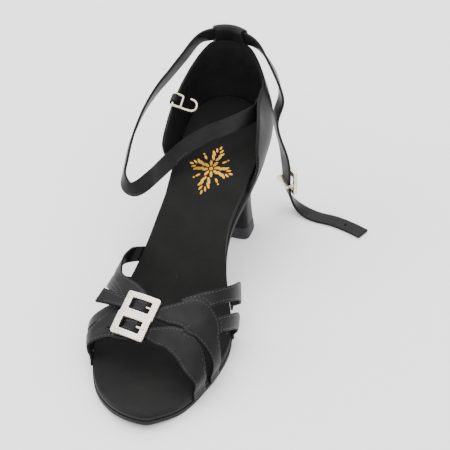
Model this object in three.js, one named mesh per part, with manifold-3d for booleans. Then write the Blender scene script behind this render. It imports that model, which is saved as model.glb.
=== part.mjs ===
import * as THREE from 'three';
import { mergeVertices } from 'three/addons/utils/BufferGeometryUtils.js';
import Module from 'manifold-3d';

const wasm = await Module();
wasm.setup();

// Women's open dance sandal for the right foot, in millimetres.
// Z is up, the toe points along -Y, the inner side of the foot is +X,
// and the origin is on the floor under the middle of the ball.

// Clearance between touching pieces
const GAP = 0.3;

// Sole
const SOLE_LENGTH = 224.8; // toe tip to back of the seat, seen from above
const TOE_Y = -69.2; // where the toe tip lies
const BALL_WIDTH = 77.4;
const SEAT_RISE = 64; // underside of the sole at the back of the seat
const OUTSOLE_T = 2.5;
const BOARD_T = 2.2;
const SOCK_T = 2.2;
const EDGE_FRONT = 0.5; // outsole showing beyond the board
const EDGE_SEAT = 2.3; // outsole beyond the board under the counter

// Last, the form of the foot that the upper is drawn over
const LAST_HEIGHT = 55; // above the board's underside, at the instep end of the vamp
const LAST_BULGE = 7; // sides of the foot beyond the sole, at the instep end
const WALL_RISE = 11; // height of the widest line above the outsole

// Straps of the vamp
const STRAP_T = 1.3; // satin, filler and lining
const STRAP_WIDTH = 8.6;
const FOOT_GAP = 0.55; // between the straps' ends and the outsole
const FOLD_STEP = 0.35; // how far the panel stands out over the straps it covers
const TAIL = 26; // strap end beyond the buckle's middle, beside the frame
const LOWER_TAIL_SHARE = 0.55;

// Buckles of the vamp
const FRAME_LENGTH = 21.2; // along the strap
const FRAME_WIDTH = 14.6;
const FRAME_T = 2;
const OPENING_LENGTH = 13.4;
const OPENING_WIDTH = 7.6;
const BAR = 1.7; // thickness of the bar that the strap runs over
const BAR_WIDTH = 2.2;
const PRONG = 1.3;

// Counter
const COUNTER_T = 2;
const COUNTER_HEIGHT = 47; // at the back, above the outsole
const COUNTER_REACH = 76; // round the seat from the back to each front edge, at the bottom
const STRAP_PULL = 8; // the inner wall is drawn inwards where the strap is sewn on
const PULL_AT = 44; // round the seat from the back
const PULL_REACH = 24;
const CUP_BELLY = 2.6; // swell of the cup's wall beyond the seat
const TUNNEL_LENGTH = 25;
const TUNNEL_HEIGHT = 12.6;
const TUNNEL_T = 1; // wall of the strap's tunnel

// Hook on the counter's outer side
const TAB_AT = 50; // round the seat from the back
const TAB_LENGTH = 5;
const TAB_HEIGHT = 4.2;
const TAB_T = 0.8;
const WIRE = 1.7;
const EYE_WIDTH = 9; // along the tab
const EYE_DEPTH = 5.2;
const HOOK_LENGTH = 14.5; // from the tab to the end of the bend
const HOOK_DROP = 0.26; // slope of the hook at rest, in radians

// Ankle strap
const ANKLE_WIDTH = 9.4;
const ANKLE_T = 1.6;
const STRAP_SEAT = 25; // middle of the strap's sewn end above the counter's bottom edge

// Heel
const BREAST_Y = 108; // front of the heel where it meets the sole
const TIP_X = 9.6; // middle of the heel's foot
const TIP_HEIGHT = 8;
const TIP_WIDTH = 17;
const TIP_LENGTH = 20;
const TIP_FRONT_Y = 107;

// Station from the toe and the two sides of the sole, as shares of SOLE_LENGTH and BALL_WIDTH
const OUTLINE = [
  // station, inner side, outer side
  [0.000, 0.152, 0.090],
  [0.004, 0.196, 0.040],
  [0.016, 0.230, -0.056],
  [0.036, 0.284, -0.146],
  [0.068, 0.356, -0.245],
  [0.112, 0.411, -0.333],
  [0.165, 0.452, -0.402],
  [0.228, 0.491, -0.460],
  [0.290, 0.506, -0.490],
  [0.343, 0.497, -0.487],
  [0.397, 0.455, -0.460],
  [0.450, 0.393, -0.424],
  [0.508, 0.313, -0.375],
  [0.566, 0.258, -0.339],
  [0.619, 0.248, -0.315],
  [0.673, 0.276, -0.300],
  [0.735, 0.307, -0.305],
  [0.797, 0.323, -0.318],
  [0.859, 0.307, -0.326],
  [0.913, 0.264, -0.318],
  [0.957, 0.181, -0.271],
  [0.982, 0.098, -0.212],
  [0.996, 0.016, -0.142],
  [1.000, -0.065, -0.065],
];

// Underside of the sole: toe spring, tread, arch and seat, as shares of SOLE_LENGTH and SEAT_RISE
const PROFILE = [
  // station, rise
  [0.000, 0.055],
  [0.032, 0.031],
  [0.072, 0.011],
  [0.112, 0.000],
  [0.343, 0.000],
  [0.397, 0.025],
  [0.441, 0.081],
  [0.486, 0.175],
  [0.530, 0.294],
  [0.575, 0.425],
  [0.619, 0.553],
  [0.664, 0.666],
  [0.708, 0.759],
  [0.753, 0.831],
  [0.806, 0.894],
  [0.868, 0.941],
  [0.935, 0.975],
  [1.000, 1.000],
];

// The last over the forefoot, as shares of SOLE_LENGTH, LAST_HEIGHT, BALL_WIDTH and LAST_BULGE
const LAST = [
  // station, height, ridge, inner bulge, outer bulge
  [0.000, 0.16, 0.09, 0.00, 0.00],
  [0.041, 0.22, 0.10, 0.10, 0.10],
  [0.130, 0.34, 0.11, 0.16, 0.22],
  [0.219, 0.50, 0.13, 0.22, 0.36],
  [0.309, 0.64, 0.15, 0.32, 0.46],
  [0.353, 0.71, 0.155, 0.45, 0.52],
  [0.398, 0.78, 0.15, 0.60, 0.52],
  [0.487, 0.90, 0.13, 0.90, 0.46],
  [0.576, 1.00, 0.10, 1.00, 0.50],
  [0.700, 1.10, 0.06, 1.00, 0.50],
];
const INNER_SQUARE = 2.5; // how square the last's inner shoulder is: 2 is round
const OUTER_SQUARE = 2.1;

// The cup's wall, as shares of COUNTER_HEIGHT and CUP_BELLY
const CUP = [
  // height, inner side, outer side, back
  [0.00, 0.00, 0.00, 0.00],
  [0.20, 1.25, 1.20, 0.90],
  [0.40, 1.70, 1.60, 1.20],
  [0.60, 1.25, 1.50, 0.80],
  [0.80, 0.10, 1.00, 0.00],
  [1.00, -1.20, 0.10, -1.00],
  [1.30, -2.80, -0.90, -2.40],
];

// Value in a table's column at x, on a smooth curve through the rows
function follow(rows, x, column) {
  const last = rows.length - 1;
  if (x <= rows[0][0]) return rows[0][column];
  if (x >= rows[last][0]) return rows[last][column];
  let i = 0;
  while (x > rows[i + 1][0]) i++;
  const slope = (k) => (rows[k + 1][column] - rows[k][column]) / (rows[k + 1][0] - rows[k][0]);
  const tangent = (k) => {
    if (k === 0) return slope(0);
    if (k === last) return slope(last - 1);
    const a = slope(k - 1);
    const b = slope(k);
    return a * b <= 0 ? 0 : (2 * a * b) / (a + b);
  };
  const step = rows[i + 1][0] - rows[i][0];
  const t = (x - rows[i][0]) / step;
  const t2 = t * t;
  const t3 = t2 * t;
  return (2 * t3 - 3 * t2 + 1) * rows[i][column] + (t3 - 2 * t2 + t) * step * tangent(i)
    + (3 * t2 - 2 * t3) * rows[i + 1][column] + (t3 - t2) * step * tangent(i + 1);
}

const station = (y) => (y - TOE_Y) / SOLE_LENGTH;
const soleUnder = (y) => SEAT_RISE * follow(PROFILE, station(y), 1);
const soleSlope = (y) => (soleUnder(y + 0.5) - soleUnder(y - 0.5));
// Height of a layer that lies t above the sole's underside
const layerZ = (y, t) => soleUnder(y) + t * Math.hypot(1, soleSlope(y));

// Points and faces of a geometry whose shared vertices are merged
function meshOf(geometry) {
  const bare = geometry.clone();
  bare.deleteAttribute('normal');
  bare.deleteAttribute('uv');
  const merged = mergeVertices(bare, 1e-4);
  const position = merged.getAttribute('position');
  const points = [];
  const point = new THREE.Vector3();
  for (let i = 0; i < position.count; i++) points.push(point.fromBufferAttribute(position, i).toArray());
  const index = merged.getIndex().array;
  const faces = [];
  for (let i = 0; i < index.length; i += 3) {
    const [a, b, c] = [index[i], index[i + 1], index[i + 2]];
    if (a !== b && b !== c && c !== a) faces.push([a, b, c]);
  }
  return { points, faces };
}

// Halve every edge longer than limit, measured by size, until none is left
function refine({ points, faces }, size, limit) {
  const all = points.slice();
  let list = faces;
  for (let grew = true; grew;) {
    grew = false;
    const middles = new Map();
    const middle = (a, b) => {
      const key = a < b ? a * 1e6 + b : b * 1e6 + a;
      if (!middles.has(key)) {
        const [p, q] = [all[a], all[b]];
        const long = size(p, q) > limit;
        if (long) all.push([(p[0] + q[0]) / 2, (p[1] + q[1]) / 2, (p[2] + q[2]) / 2]);
        middles.set(key, long ? all.length - 1 : -1);
      }
      return middles.get(key);
    };
    const next = [];
    for (const face of list) {
      const cuts = [0, 1, 2].map((k) => middle(face[k], face[(k + 1) % 3]));
      const count = cuts.filter((m) => m >= 0).length;
      if (count === 0) {
        next.push(face);
        continue;
      }
      grew = true;
      if (count === 3) {
        const [m, n, o] = cuts;
        next.push([face[0], m, o], [m, face[1], n], [o, n, face[2]], [m, n, o]);
        continue;
      }
      const turn = count === 1 ? cuts.findIndex((m) => m >= 0) : (cuts.findIndex((m) => m < 0) + 1) % 3;
      const [a, b, c] = [0, 1, 2].map((k) => face[(k + turn) % 3]);
      const [m, n] = [cuts[turn], cuts[(turn + 1) % 3]];
      if (count === 1) next.push([a, m, c], [m, b, c]);
      else if (size(all[a], all[n]) < size(all[m], all[c])) next.push([m, b, n], [a, m, n], [a, n, c]);
      else next.push([m, b, n], [a, m, c], [m, n, c]);
    }
    list = next;
  }
  return { points: all, faces: list };
}

// Geometry of points and faces, each point moved by place
function shaped({ points, faces }, place) {
  const geometry = new THREE.BufferGeometry();
  geometry.setAttribute('position', new THREE.Float32BufferAttribute(points.flatMap(place), 3));
  geometry.setIndex(faces.flat());
  geometry.computeVertexNormals();
  return geometry;
}

// A box whose long side runs along x and whose width runs along y, both from 0 to 1,
// and whose height z runs from 0 to 1
function grid(along, across, up = 1) {
  return meshOf(new THREE.BoxGeometry(1, 1, 1, along, across, up).translate(0.5, 0.5, 0.5));
}

// Geometry of a mesh moved by place, with the points that fall together merged
function warped(mesh, place) {
  return closed(meshOf(shaped(mesh, place)));
}
function closed(mesh) {
  return shaped(mesh, (p) => p);
}

const { Manifold, Mesh: Solid } = wasm;
function solid(geometry) {
  const { points, faces } = meshOf(geometry);
  return new Manifold(new Solid({
    numProp: 3,
    vertProperties: new Float32Array(points.flat()),
    triVerts: new Uint32Array(faces.flat()),
  }));
}
function joined(geometries) {
  const { numProp, vertProperties, triVerts } = geometries.map(solid).reduce((a, b) => a.add(b)).getMesh();
  const geometry = new THREE.BufferGeometry();
  const positions = [];
  for (let i = 0; i < vertProperties.length; i += numProp) positions.push(...vertProperties.slice(i, i + 3));
  geometry.setAttribute('position', new THREE.Float32BufferAttribute(positions, 3));
  geometry.setIndex(Array.from(triVerts));
  geometry.computeVertexNormals();
  return geometry;
}

// Outline of the sole, counter-clockwise from the toe along the inner side
const side = (column) => OUTLINE.map((row) => new THREE.Vector3(
  row[column] * BALL_WIDTH, TOE_Y + row[0] * SOLE_LENGTH, 0));
const outlineCurve = new THREE.CatmullRomCurve3(
  [...side(1), ...side(2).slice(1, -1).reverse()], true, 'centripetal');

// The outline moved outwards by offset(y)
function outlinePoints(count, offset) {
  const points = outlineCurve.getSpacedPoints(count).slice(0, count);
  return points.map((p, i) => {
    const before = points[(i + count - 1) % count];
    const after = points[(i + 1) % count];
    const along = new THREE.Vector2(after.x - before.x, after.y - before.y).normalize();
    const out = offset(p.y);
    return new THREE.Vector2(p.x + along.y * out, p.y - along.x * out);
  });
}

const bottomEdge = (y) => THREE.MathUtils.lerp(
  EDGE_FRONT, EDGE_SEAT, THREE.MathUtils.smoothstep(station(y), 0.55, 0.72));

// The two sides of an outline at y
function sidesAt(trace, y) {
  let [low, high] = [Infinity, -Infinity];
  for (let i = 0; i < trace.length; i++) {
    const p = trace[i];
    const q = trace[(i + 1) % trace.length];
    if ((p.y - y) * (q.y - y) > 0 || p.y === q.y) continue;
    const x = p.x + ((y - p.y) / (q.y - p.y)) * (q.x - p.x);
    low = Math.min(low, x);
    high = Math.max(high, x);
  }
  return [low, high];
}

// One layer of the sole between t0 and t1 above its underside
function soleLayer(trace, t0, t1) {
  const ys = trace.map((p) => p.y);
  const [front, back] = [Math.min(...ys), Math.max(...ys)];
  return warped(grid(48, 4), ([u, v, w]) => {
    const y = front + (back - front) * (0.5 - 0.5 * Math.cos(Math.PI * u));
    const [low, high] = sidesAt(trace, THREE.MathUtils.clamp(y, front + 1e-6, back - 1e-6));
    return [high + (low - high) * v, y, layerZ(y, t0 + (t1 - t0) * w)];
  });
}

const TRACE_POINTS = 400;
const outsoleTrace = outlinePoints(TRACE_POINTS, bottomEdge);
const boardTrace = outlinePoints(TRACE_POINTS, () => 0);
const footTrace = outlinePoints(TRACE_POINTS, () => GAP);
const BOARD_UNDER = OUTSOLE_T + GAP;
const SOCK_UNDER = BOARD_UNDER + BOARD_T + GAP;
const SOCK_TOP = SOCK_UNDER + SOCK_T;

// Section of the last at y: points from the outer foot line over the ridge to the inner one,
// with each point's distance a along the section, counted from the ridge
const sections = new Map();
function lastSection(y) {
  const key = Math.round(y * 1000);
  if (sections.has(key)) return sections.get(key);
  const s = station(y);
  const foot = layerZ(y, OUTSOLE_T) + FOOT_GAP;
  const wall = foot + WALL_RISE;
  const top = layerZ(y, OUTSOLE_T) + LAST_HEIGHT * follow(LAST, s, 1);
  const ridge = BALL_WIDTH * follow(LAST, s, 2);
  const points = [];
  const edges = sidesAt(footTrace, y);
  for (const sign of [-1, 1]) {
    const half = [];
    const edge = edges[sign > 0 ? 1 : 0];
    const bulge = sign * LAST_BULGE * follow(LAST, s, sign > 0 ? 3 : 4);
    const square = sign > 0 ? INNER_SQUARE : OUTER_SQUARE;
    const straight = (SOCK_TOP - OUTSOLE_T) / WALL_RISE;
    for (let k = 0; k <= 6; k++) {
      const z = foot + (wall - foot) * (k / 6);
      half.push([edge + bulge * THREE.MathUtils.smoothstep(k / 6, straight, 1), z]);
    }
    for (let k = 1; k <= 24; k++) {
      const angle = (Math.PI / 2) * (k / 24);
      half.push([
        ridge + (edge + bulge - ridge) * Math.cos(angle) ** (2 / square),
        wall + Math.max(top - wall, 1) * Math.sin(angle) ** (2 / square),
      ]);
    }
    if (sign < 0) points.push(...half);
    else points.push(...half.slice(0, -1).reverse());
  }
  const lengths = [0];
  for (let i = 1; i < points.length; i++) {
    const [p, q] = [points[i - 1], points[i]];
    lengths.push(lengths[i - 1] + Math.hypot(q[0] - p[0], q[1] - p[1]));
  }
  const middle = lengths[30];
  const section = { points, a: lengths.map((l) => l - middle) };
  sections.set(key, section);
  return section;
}

// Point of the last at a along the section of y
function lastPoint(a, y) {
  const { points, a: along } = lastSection(y);
  let i = 0;
  while (i < points.length - 2 && a > along[i + 1]) i++;
  const t = (a - along[i]) / (along[i + 1] - along[i]);
  return new THREE.Vector3(
    points[i][0] + t * (points[i + 1][0] - points[i][0]), y,
    points[i][1] + t * (points[i + 1][1] - points[i][1]));
}

// Point at t outside the last
function onLast([a, y, t]) {
  const { a: along } = lastSection(y);
  const [low, high] = [along[0], along[along.length - 1]];
  const a0 = Math.max(a - 1.5, low);
  const a1 = Math.min(a + 1.5, high);
  const across = lastPoint(a1, y).sub(lastPoint(a0, y));
  const share = (a - low) / (high - low);
  const at = (yy) => {
    const other = lastSection(yy).a;
    return lastPoint(other[0] + share * (other[other.length - 1] - other[0]), yy);
  };
  const lengthways = at(y + 1.5).sub(at(y - 1.5));
  const normal = across.cross(lengthways).normalize();
  return lastPoint(a, y).addScaledVector(normal, t).toArray();
}


// The last's foot lines at y, as distances along the section
const footLine = (y, sign) => {
  const { a } = lastSection(y);
  return sign > 0 ? a[a.length - 1] : a[0];
};
const onLength = (s) => TOE_Y + s * SOLE_LENGTH;
// Curve through the first three values of each row
const curve = (rows) => new THREE.CatmullRomCurve3(
  rows.map(([x, y, z]) => new THREE.Vector3(x, y, z)), false, 'centripetal');

// Points a, y on the last from rows of across and station: across is 1 at the inner foot line, -1 outside
const lastRow = ([across, s, width]) => {
  const y = onLength(s);
  return [Math.abs(across) * footLine(y, across), y, width * STRAP_WIDTH];
};

// A strap drawn over the last along rows of a, y, width, lifted by rise(distance from the row numbered zero)
function lastStrap(rows, t0, t1, { steps, columns = 3, rise = () => 0, zero = 0 }) {
  const path = curve(rows);
  const total = path.getLength();
  const lengths = path.getLengths(200);
  const start = lengths[Math.round((200 * zero) / (rows.length - 1))];
  const onFoot = ([a, y]) => Math.abs(Math.abs(a) - Math.abs(footLine(y, a))) < 0.01;
  const ends = [rows[0], rows[rows.length - 1]].map(onFoot);
  return warped(grid(steps, columns), ([u, v, w]) => {
    const p = path.getPointAt(u);
    const d = path.getTangentAt(u);
    const along = new THREE.Vector2(d.x, d.y).normalize();
    const across = new THREE.Vector2(-along.y, along.x);
    const near = Math.max(ends[0] ? 1 - (u * total) / 16 : 0, ends[1] ? 1 - ((1 - u) * total) / 16 : 0, 0);
    across.lerp(new THREE.Vector2(0, Math.sign(across.y)), near).normalize();
    const y = p.y + across.y * p.z * (v - 0.5);
    let a = p.x + across.x * p.z * (v - 0.5);
    const left = near > 0 ? (1 - near) * 6 : 0;
    const limit = Math.abs(footLine(y, a)) - left * 0.2;
    if (near === 1) a = footLine(y, a);
    else if (near > 0 && Math.abs(a) > limit) a = Math.sign(a) * limit;
    return onLast([a, y, t0 + (t1 - t0) * w + rise(u * total - start)]);
  });
}

// Buckles of the vamp, which share one side: middle on the last, turn of the strap and of the frame's short
// sides in degrees
const BUCKLES = {
  // across, station, turn, short sides
  upper: [-0.262, 0.266, -14, -1.5],
  lower: [-0.303, 0.213, -14, -1.5],
};
const PANEL_LIFT = STRAP_T + GAP; // the straps' ends lie on the outer panel
const BULGE = BAR + GAP;
const TAIL_RADIUS = LAST_HEIGHT * 0.6; // the last's roundness under the tails
const VAMP_BUCKLE = {
  length: FRAME_LENGTH,
  width: FRAME_WIDTH,
  openingLength: OPENING_LENGTH,
  openingWidth: OPENING_WIDTH,
  barUnder: PANEL_LIFT,
  frameUnder: PANEL_LIFT + FOLD_STEP + STRAP_T + GAP,
};

// Point beside a buckle's middle: p along the strap towards the inner side, q towards the heel, t outwards
function besideBuckle([across, s, turn, side]) {
  const [a, y] = lastRow([across, s, 1]);
  const [angle, lean] = [turn, side].map(THREE.MathUtils.degToRad);
  const [p0, p1] = [new THREE.Vector3(...onLast([a, y - 1, 0])), new THREE.Vector3(...onLast([a, y + 1, 0]))];
  const stretch = 2 / p0.distanceTo(p1);
  return (p, q) => [
    a + p * Math.cos(angle) - q * Math.sin(lean),
    y + (p * Math.sin(angle) + q * Math.cos(lean)) * stretch,
  ];
}

function roundedRectangle(target, length, width, radius) {
  const [x, y] = [length / 2, width / 2];
  return target.moveTo(-x + radius, -y).lineTo(x - radius, -y)
    .absarc(x - radius, -y + radius, radius, -Math.PI / 2, 0)
    .lineTo(x, y - radius).absarc(x - radius, y - radius, radius, 0, Math.PI / 2)
    .lineTo(-x + radius, y).absarc(-x + radius, y - radius, radius, Math.PI / 2, Math.PI)
    .lineTo(-x, -y + radius).absarc(-x + radius, -y + radius, radius, Math.PI, Math.PI * 1.5);
}

// A buckle's frame with its bar and prong, put in place by place(p, q, t)
function buckleParts({ length, width, openingLength, openingWidth, barUnder, frameUnder }, place) {
  const outline = roundedRectangle(new THREE.Shape(), length, width, 1.4);
  outline.holes.push(roundedRectangle(new THREE.Path(), openingLength, openingWidth, 0.8));
  const ring = new THREE.ExtrudeGeometry(outline, { depth: FRAME_T, bevelEnabled: false, curveSegments: 2 });
  const flat = (mesh) => refine(mesh, (a, b) => Math.hypot(a[0] - b[0], a[1] - b[1]), 9);
  const side = (width - openingWidth) / 2;
  const span = openingWidth + side * 1.1;
  const bar = new THREE.BoxGeometry(BAR_WIDTH, span, BAR).translate(0, 0, barUnder + BAR / 2);
  const postHeight = frameUnder + FRAME_T / 2 - barUnder;
  const posts = [-1, 1].map((s) => new THREE.BoxGeometry(BAR_WIDTH - 0.1, side * 0.45, postHeight)
    .translate(0, (s * (span - side * 0.5)) / 2, barUnder + 0.05 + postHeight / 2));
  const prong = new THREE.CylinderGeometry(PRONG / 2, PRONG / 2, openingLength / 2 - 2, 8)
    .rotateZ(Math.PI / 2).translate(openingLength / 4 + 3, 0, frameUnder + FRAME_T - PRONG / 4);
  return [meshOf(ring.translate(0, 0, frameUnder)), ...[bar, ...posts, prong].map(meshOf)]
    .map((mesh) => warped(flat(mesh), ([p, q, t]) => place(p, q, t)));
}

// Rise of a strap end along its length from the buckle's middle: over the bar, then down to the last, while
// the tail stands out straight
function armRise(distance) {
  const over = THREE.MathUtils.smoothstep(Math.abs(distance), BAR_WIDTH * 1.25, OPENING_LENGTH / 2 - 0.7);
  const hump = BULGE * (1 - over);
  const down = 1 - THREE.MathUtils.smoothstep(distance, FRAME_LENGTH / 2, FRAME_LENGTH / 2 + 9);
  const up = Math.max(-distance - OPENING_LENGTH / 2, 0) ** 2 / (2 * TAIL_RADIUS);
  return PANEL_LIFT * down + hump + up;
}

// Straps of the vamp: middle line and width, from the buckle or panel to the foot line
const PANEL = [
  // across, station, width
  [-0.042, 0.262, 1.30],
  [0.057, 0.269, 1.63],
  [0.206, 0.274, 2.44],
  [0.362, 0.260, 2.21],
  [0.515, 0.234, 1.34],
  [0.676, 0.215, 1.02],
  [0.873, 0.208, 1.00],
  [1.000, 0.212, 1.00],
];
const TOP_STRAP = [
  // across, station, width
  [0.073, 0.290, 1.05],
  [0.214, 0.315, 1.16],
  [0.343, 0.348, 0.88],
  [0.455, 0.381, 0.86],
  [0.565, 0.412, 0.88],
  [0.711, 0.444, 0.93],
  [1.000, 0.464, 0.93],
];
const SECOND_STRAP = [
  // across, station, width
  [0.309, 0.250, 0.93],
  [0.407, 0.266, 0.93],
  [0.496, 0.290, 0.93],
  [0.626, 0.335, 0.93],
  [0.725, 0.363, 0.93],
  [1.000, 0.383, 0.93],
];
const FRONT_STRAP = [
  // across, station, width
  [-0.047, 0.203, 1.22],
  [0.094, 0.205, 1.53],
  [0.257, 0.194, 1.70],
  [0.401, 0.177, 1.69],
  [0.525, 0.157, 1.57],
  [0.665, 0.143, 1.35],
  [0.806, 0.139, 1.23],
  [1.000, 0.145, 1.16],
];
const OUTER_TOE_LEG = [
  // across, station, width
  [-0.138, 0.238, 2.56],
  [-0.232, 0.239, 3.02],
  [-0.349, 0.238, 3.02],
  [-0.472, 0.230, 2.56],
  [-0.606, 0.214, 1.63],
  [-0.779, 0.201, 1.22],
  [-1.000, 0.192, 1.16],
];
const OUTER_LEG = [
  // across, station, width
  [-0.362, 0.268, 1.63],
  [-0.475, 0.266, 1.40],
  [-0.592, 0.259, 1.05],
  [-0.745, 0.248, 0.87],
  [-1.000, 0.239, 0.93],
];
const OUTER_TOP_STRAP = [
  // across, station, width
  [-0.325, 0.290, 1.40],
  [-0.409, 0.317, 1.28],
  [-0.500, 0.347, 0.90],
  [-0.590, 0.376, 0.74],
  [-0.645, 0.412, 0.70],
  [-0.735, 0.456, 0.70],
  [-0.860, 0.500, 0.76],
  [-1.000, 0.532, 0.81],
];
const OUTER_SECOND_STRAP = [
  // across, station, width
  [-0.405, 0.294, 1.05],
  [-0.499, 0.321, 0.81],
  [-0.607, 0.353, 0.74],
  [-0.740, 0.394, 0.74],
  [-0.870, 0.432, 0.80],
  [-1.000, 0.462, 0.84],
];

// Strap end through a buckle: tail, frame, then on along rows
function armRows(buckle, tail, rows) {
  const beside = besideBuckle(buckle);
  const end = [-tail, -tail * 0.5, 0, FRAME_LENGTH / 4, FRAME_LENGTH / 2]
    .map((p) => [...beside(p, 0), Math.abs(p) < tail ? OPENING_WIDTH - 4 * GAP : STRAP_WIDTH]);
  return [...end, ...rows.map(lastRow)];
}
const arm = (buckle, tail, rows, t0) => lastStrap(
  armRows(buckle, tail, rows), t0, t0 + STRAP_T, { steps: 68, columns: 3, rise: armRise, zero: 2 });

const vampInner = joined([
  arm(BUCKLES.upper, TAIL, PANEL, FOLD_STEP),
  arm(BUCKLES.lower, TAIL * LOWER_TAIL_SHARE, FRONT_STRAP, 0),
  lastStrap(TOP_STRAP.map(lastRow), FOLD_STEP - 0.08, FOLD_STEP + STRAP_T - 0.08, { steps: 20 }),
  lastStrap(SECOND_STRAP.map(lastRow), 0, STRAP_T, { steps: 16 }),
]);
const vampOuter = joined([
  lastStrap(OUTER_TOE_LEG.map(lastRow), 0, STRAP_T, { steps: 26, columns: 5 }),
  lastStrap(OUTER_LEG.map(lastRow), 0.1, STRAP_T - 0.1, { steps: 14 }),
  lastStrap(OUTER_TOP_STRAP.map(lastRow), 0.06, STRAP_T - 0.06, { steps: 22 }),
  lastStrap(OUTER_SECOND_STRAP.map(lastRow), 0.14, STRAP_T - 0.14, { steps: 18 }),
]);
const vampBuckle = joined(Object.values(BUCKLES).flatMap((buckle, i) => {
  const beside = besideBuckle(buckle);
  return buckleParts(VAMP_BUCKLE, (p, q, t) => onLast([...beside(p, q), t + 0.05 * i]));
}));

// Heel cup: c runs round the seat from the back, outer side positive, h is the height above the outsole
const backIndex = footTrace.reduce((best, p, i) => (p.y > footTrace[best].y ? i : best), 0);
function cupBase(c) {
  const step = Math.sign(c) || 1;
  let left = Math.abs(c);
  let i = backIndex;
  for (;;) {
    const p = footTrace[i];
    const next = (i + step + footTrace.length) % footTrace.length;
    const q = footTrace[next];
    const length = p.distanceTo(q);
    if (left <= length) return p.clone().lerp(q, left / length);
    left -= length;
    i = next;
  }
}

function onCup([c, h, t]) {
  const p = cupBase(c);
  const along = cupBase(c + 4).sub(cupBase(c - 4)).normalize();
  const normal = new THREE.Vector2(along.y, -along.x);
  const share = h / COUNTER_HEIGHT;
  const back = THREE.MathUtils.smoothstep(normal.y, 0.1, 0.9);
  const near = c < 0 ? Math.exp(-(((c + PULL_AT) / PULL_REACH) ** 2)) : 0;
  const pulled = (STRAP_PULL / CUP_BELLY) * near * THREE.MathUtils.smoothstep(share, 0.2, 0.75);
  const wall = follow(CUP, share, c < 0 ? 1 : 2) - pulled;
  p.addScaledVector(normal, CUP_BELLY * THREE.MathUtils.lerp(wall, follow(CUP, share, 3), back) + t);
  return [p.x, p.y, layerZ(p.y, OUTSOLE_T) + GAP + h];
}

// Top line of the counter, by the share of the way from the back to its front edges
const COUNTER_TOP = [
  // way round, height
  [-1.00, 0.52],
  [-0.96, 0.58],
  [-0.80, 0.66],
  [-0.54, 0.66],
  [-0.42, 0.68],
  [-0.34, 0.75],
  [-0.26, 0.90],
  [-0.19, 1.00],
  [0.17, 1.00],
  [0.24, 0.89],
  [0.33, 0.71],
  [0.42, 0.60],
  [0.54, 0.575],
  [0.80, 0.595],
  [0.96, 0.58],
  [1.00, 0.52],
];
// Front edges of the counter, as distances round the seat from the back, in shares of COUNTER_REACH
const COUNTER_FRONT = [
  // height, inner, outer
  [0.00, 1.08, 0.86],
  [0.25, 1.03, 0.91],
  [0.50, 1.01, 0.96],
  [1.00, 1.00, 1.00],
];
const counterTop = (c) => COUNTER_HEIGHT * follow(COUNTER_TOP, c / COUNTER_REACH, 1);
function onCounter([u, v, t]) {
  const way = 2 * u - 1;
  const c = way * COUNTER_REACH * follow(COUNTER_FRONT, v, way < 0 ? 1 : 2);
  return onCup([c, v * COUNTER_HEIGHT * follow(COUNTER_TOP, way, 1), t * COUNTER_T]);
}
const counter = warped(grid(44, 7), onCounter);

// A flat ring standing on the counter's top edge, its hole running round the seat
function topRing({ at, length, height, depth, wall, steps }) {
  const across = depth + 2 * wall;
  const ring = roundedRectangle(new THREE.Shape(), across, height, across / 2 - 0.2);
  ring.holes.push(roundedRectangle(new THREE.Path(), depth, height - 2 * wall, depth / 2 - 0.1));
  const middle = Math.max(...[-0.5, 0, 0.5].map((k) => counterTop(at + k * length))) + GAP + height / 2;
  const shape = new THREE.ExtrudeGeometry(
    ring, { depth: length, steps, bevelEnabled: false, curveSegments: 3 });
  const mesh = warped(
    meshOf(shape), ([t, h, c]) => onCup([at + length / 2 - c, middle + h, COUNTER_T / 2 + t]));
  return { mesh, middle };
}
const SLOT_GAP = 0.85;
const tunnelDepth = ANKLE_T + 2 * SLOT_GAP;
const tunnel = topRing({
  at: 0, length: TUNNEL_LENGTH, height: TUNNEL_HEIGHT, depth: tunnelDepth, wall: TUNNEL_T, steps: 6,
});
const tab = topRing({
  at: TAB_AT, length: TAB_LENGTH, height: TAB_HEIGHT, depth: TAB_HEIGHT - 2 * TAB_T, wall: TAB_T, steps: 2,
});

// Hook lying flat in its own plane: eye round the tab, then a hook bent back on itself
const HOOK_WAY = [
  // along the bar, away from the bar
  [0.5, 0.31],
  [0.5, 0.62],
  [0.44, 0.86],
  [0.25, 0.97],
  [0, 1.0],
  [-0.25, 0.97],
  [-0.44, 0.86],
  [-0.5, 0.66],
];
const hookAxis = [-1, 1]
  .map((k) => new THREE.Vector3(...onCup([TAB_AT + k, tab.middle, COUNTER_T / 2])));
const hookPivot = hookAxis[0].clone().lerp(hookAxis[1], 0.5);
const hookAlong = hookAxis[1].clone().sub(hookAxis[0]).normalize();
const hookInwards = new THREE.Vector3(0, 0, 1).cross(hookAlong).normalize();
if (hookInwards.x < 0) hookInwards.negate();
const hookAway = hookInwards.clone().multiplyScalar(Math.cos(HOOK_DROP))
  .add(new THREE.Vector3(0, 0, -Math.sin(HOOK_DROP)));
const hookPoint = (e, f) => hookPivot.clone().addScaledVector(hookAlong, e).addScaledVector(hookAway, f);
const hookNormal = hookAlong.clone().cross(hookAway);
const EYE_CORNERS = [
  // along the bar, away from the bar
  [-0.5, 0.12], [-0.38, 0], [0, 0], [0.38, 0], [0.5, 0.12],
  [0.5, 0.88], [0.38, 1], [0, 1], [-0.38, 1], [-0.5, 0.88],
];
const eye = new THREE.TubeGeometry(
  new THREE.CatmullRomCurve3(
    EYE_CORNERS.map(([e, f]) => hookPoint(e * EYE_WIDTH, f * EYE_DEPTH)), true, 'catmullrom', 0.3),
  40, WIRE / 2, 7, true);
const hookWay = new THREE.CatmullRomCurve3(
  HOOK_WAY.map(([e, f]) => hookPoint(e * EYE_WIDTH, f * HOOK_LENGTH)));
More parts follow.
